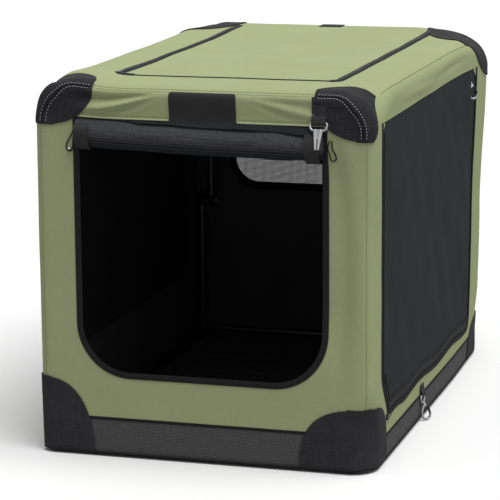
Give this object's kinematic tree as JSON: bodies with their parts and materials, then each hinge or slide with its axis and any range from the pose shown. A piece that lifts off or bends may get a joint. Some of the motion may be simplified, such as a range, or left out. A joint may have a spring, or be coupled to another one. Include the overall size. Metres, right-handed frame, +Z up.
{
  "type": "soft folding dog crate",
  "caption": "Soft-sided folding dog crate: fabric cover on a knee-jointed tube frame, with a rolled front door, zipped side and top doors and snap hooks",
  "frame": {"origin": "middle of the crate's underside", "axes": "+X across the crate to the right seen from the front, +Y from the front door to the rear wall, +Z up"},
  "size_m": [0.5931, 0.9359, 0.6494],
  "materials": {
    "green_canvas": "matte woven polyester",
    "black_patch": "matte heavy weave",
    "grey_band": "coarse ribbed weave",
    "charcoal_panel": "fine knit mesh",
    "black_mesh": "open mesh",
    "pad_cloth": "quilted cloth",
    "black_webbing": "woven webbing",
    "black_tube": "satin powder coat",
    "black_plastic": "matte",
    "grey_button": "matte",
    "steel": "satin nickel"
  },
  "bodies": {
    "base": {"bottom_cover": "grey_band", "floor_pad": "pad_cloth", "front_base_rail": "black_tube", "rear_base_rail": "black_tube", "left_base_rail": "black_tube", "right_base_rail": "black_tube", "base_hook_strap": "black_webbing", "front_wall": "green_canvas", "rear_wall": "green_canvas", "left_wall": "green_canvas", "right_wall": "green_canvas", "rear_window": "black_mesh", "left_window": "black_mesh", "front_left_base_corner": "black_plastic", "front_right_base_corner": "black_plastic", "rear_left_base_corner": "black_plastic", "rear_right_base_corner": "black_plastic", "front_left_boot": "black_patch", "front_right_boot": "black_patch", "rear_left_boot": "black_patch", "rear_right_boot": "black_patch"},
    "front_lower": {"front_left_lower_post": "black_tube", "front_right_lower_post": "black_tube"},
    "front_upper": {"front_left_upper_post": "black_tube", "front_right_upper_post": "black_tube"},
    "rear_lower": {"rear_left_lower_post": "black_tube", "rear_right_lower_post": "black_tube"},
    "rear_upper": {"rear_left_upper_post": "black_tube", "rear_right_upper_post": "black_tube"},
    "top": {"front_bow": "black_tube", "rear_bow": "black_tube", "left_top_rail": "black_tube", "right_top_rail": "black_tube", "roof_panel": "green_canvas", "front_door_roll": "charcoal_panel", "label": "black_webbing", "rear_tab": "black_webbing", "front_left_zip_pull": "steel", "front_right_zip_pull": "steel", "front_hook_strap": "black_webbing", "side_hook_strap": "black_webbing", "front_left_bow_bracket": "black_plastic", "front_right_bow_bracket": "black_plastic", "rear_left_bow_bracket": "black_plastic", "rear_right_bow_bracket": "black_plastic", "front_left_cap": "black_patch", "front_right_cap": "black_patch", "rear_left_cap": "black_patch", "rear_right_cap": "black_patch"},
    "top_door": {"top_door": "green_canvas"},
    "side_door": {"side_door": "charcoal_panel"},
    "top_slider": {"top_slider": "steel"},
    "side_slider": {"side_slider": "steel"},
    "front_hook": {"front_hook": "steel"},
    "side_hook": {"side_hook": "steel"},
    "base_hook": {"base_hook": "steel"},
    "front_left_knee_button": {"front_left_knee_button": "grey_button"},
    "front_right_knee_button": {"front_right_knee_button": "grey_button"},
    "rear_left_knee_button": {"rear_left_knee_button": "grey_button"},
    "rear_right_knee_button": {"rear_right_knee_button": "grey_button"}
  },
  "joints": [
    {"name": "fold", "type": "hinge", "parent": "base", "child": "front_lower", "pos_m": [0, -0.41, 0.03144], "axis": [-1, 0, 0], "range_deg": [0, 84.8], "deforming": ["front_wall", "rear_wall", "left_wall", "right_wall", "rear_window", "left_window", "front_left_boot", "front_right_boot", "rear_left_boot", "rear_right_boot", "front_door_roll", "side_door", "front_left_zip_pull", "front_right_zip_pull"]},
    {"name": "front_knee", "type": "hinge", "parent": "front_lower", "child": "front_upper", "pos_m": [0, -0.41, 0.28957], "axis": [-1, 0, 0], "range_deg": [-169.6, 0]},
    {"name": "front_top_hinge", "type": "hinge", "parent": "front_upper", "child": "top", "pos_m": [0, -0.41, 0.5477], "axis": [-1, 0, 0], "range_deg": [0, 84.8]},
    {"name": "rear_fold", "type": "hinge", "parent": "base", "child": "rear_lower", "pos_m": [0, 0.41, 0.03144], "axis": [-1, 0, 0], "range_deg": [-84.8, 0]},
    {"name": "rear_knee", "type": "hinge", "parent": "rear_lower", "child": "rear_upper", "pos_m": [0, 0.41, 0.28957], "axis": [-1, 0, 0], "range_deg": [0, 169.6]},
    {"name": "top_door_flap", "type": "hinge", "parent": "top", "child": "top_door", "pos_m": [0, 0.4016, 0.645], "axis": [-1, 0, 0], "range_deg": [0, 120]},
    {"name": "side_door_flap", "type": "hinge", "parent": "top", "child": "side_door", "pos_m": [0.292, 0, 0.5861], "axis": [0, -1, 0], "range_deg": [0, 110]},
    {"name": "top_zip", "type": "slide", "parent": "top", "child": "top_slider", "axis": [0, 1, 0], "range_m": [0, 0.66]},
    {"name": "side_zip", "type": "slide", "parent": "base", "child": "side_slider", "axis": [0, 1, 0], "range_m": [0, 0.64]},
    {"name": "front_hook_swing", "type": "hinge", "parent": "top", "child": "front_hook", "pos_m": [0.201, -0.4626, 0.593], "axis": [-1, 0, 0], "range_deg": [0, 80]},
    {"name": "side_hook_swing", "type": "hinge", "parent": "top", "child": "side_hook", "pos_m": [0.2958, 0.31, 0.573], "axis": [0, -1, 0], "range_deg": [0, 100]},
    {"name": "base_hook_swing", "type": "hinge", "parent": "base", "child": "base_hook", "pos_m": [0.2958, -0.092, 0.045], "axis": [0, -1, 0], "range_deg": [0, 100]},
    {"name": "front_left_knee_lock", "type": "slide", "parent": "front_upper", "child": "front_left_knee_button", "axis": [-1, 0, 0], "range_m": [0, 0.003], "stiffness_N_per_m": 400, "springref_m": -0.002},
    {"name": "front_right_knee_lock", "type": "slide", "parent": "front_upper", "child": "front_right_knee_button", "axis": [1, 0, 0], "range_m": [0, 0.003], "stiffness_N_per_m": 400, "springref_m": -0.002},
    {"name": "rear_left_knee_lock", "type": "slide", "parent": "rear_upper", "child": "rear_left_knee_button", "axis": [-1, 0, 0], "range_m": [0, 0.003], "stiffness_N_per_m": 400, "springref_m": -0.002},
    {"name": "rear_right_knee_lock", "type": "slide", "parent": "rear_upper", "child": "rear_right_knee_button", "axis": [1, 0, 0], "range_m": [0, 0.003], "stiffness_N_per_m": 400, "springref_m": -0.002}
  ],
  "couplings": [
    {"joint": "front_knee", "follows": "fold", "ratio": -2},
    {"joint": "front_top_hinge", "follows": "fold", "ratio": 1},
    {"joint": "rear_fold", "follows": "fold", "ratio": -1},
    {"joint": "rear_knee", "follows": "fold", "ratio": 2}
  ]
}
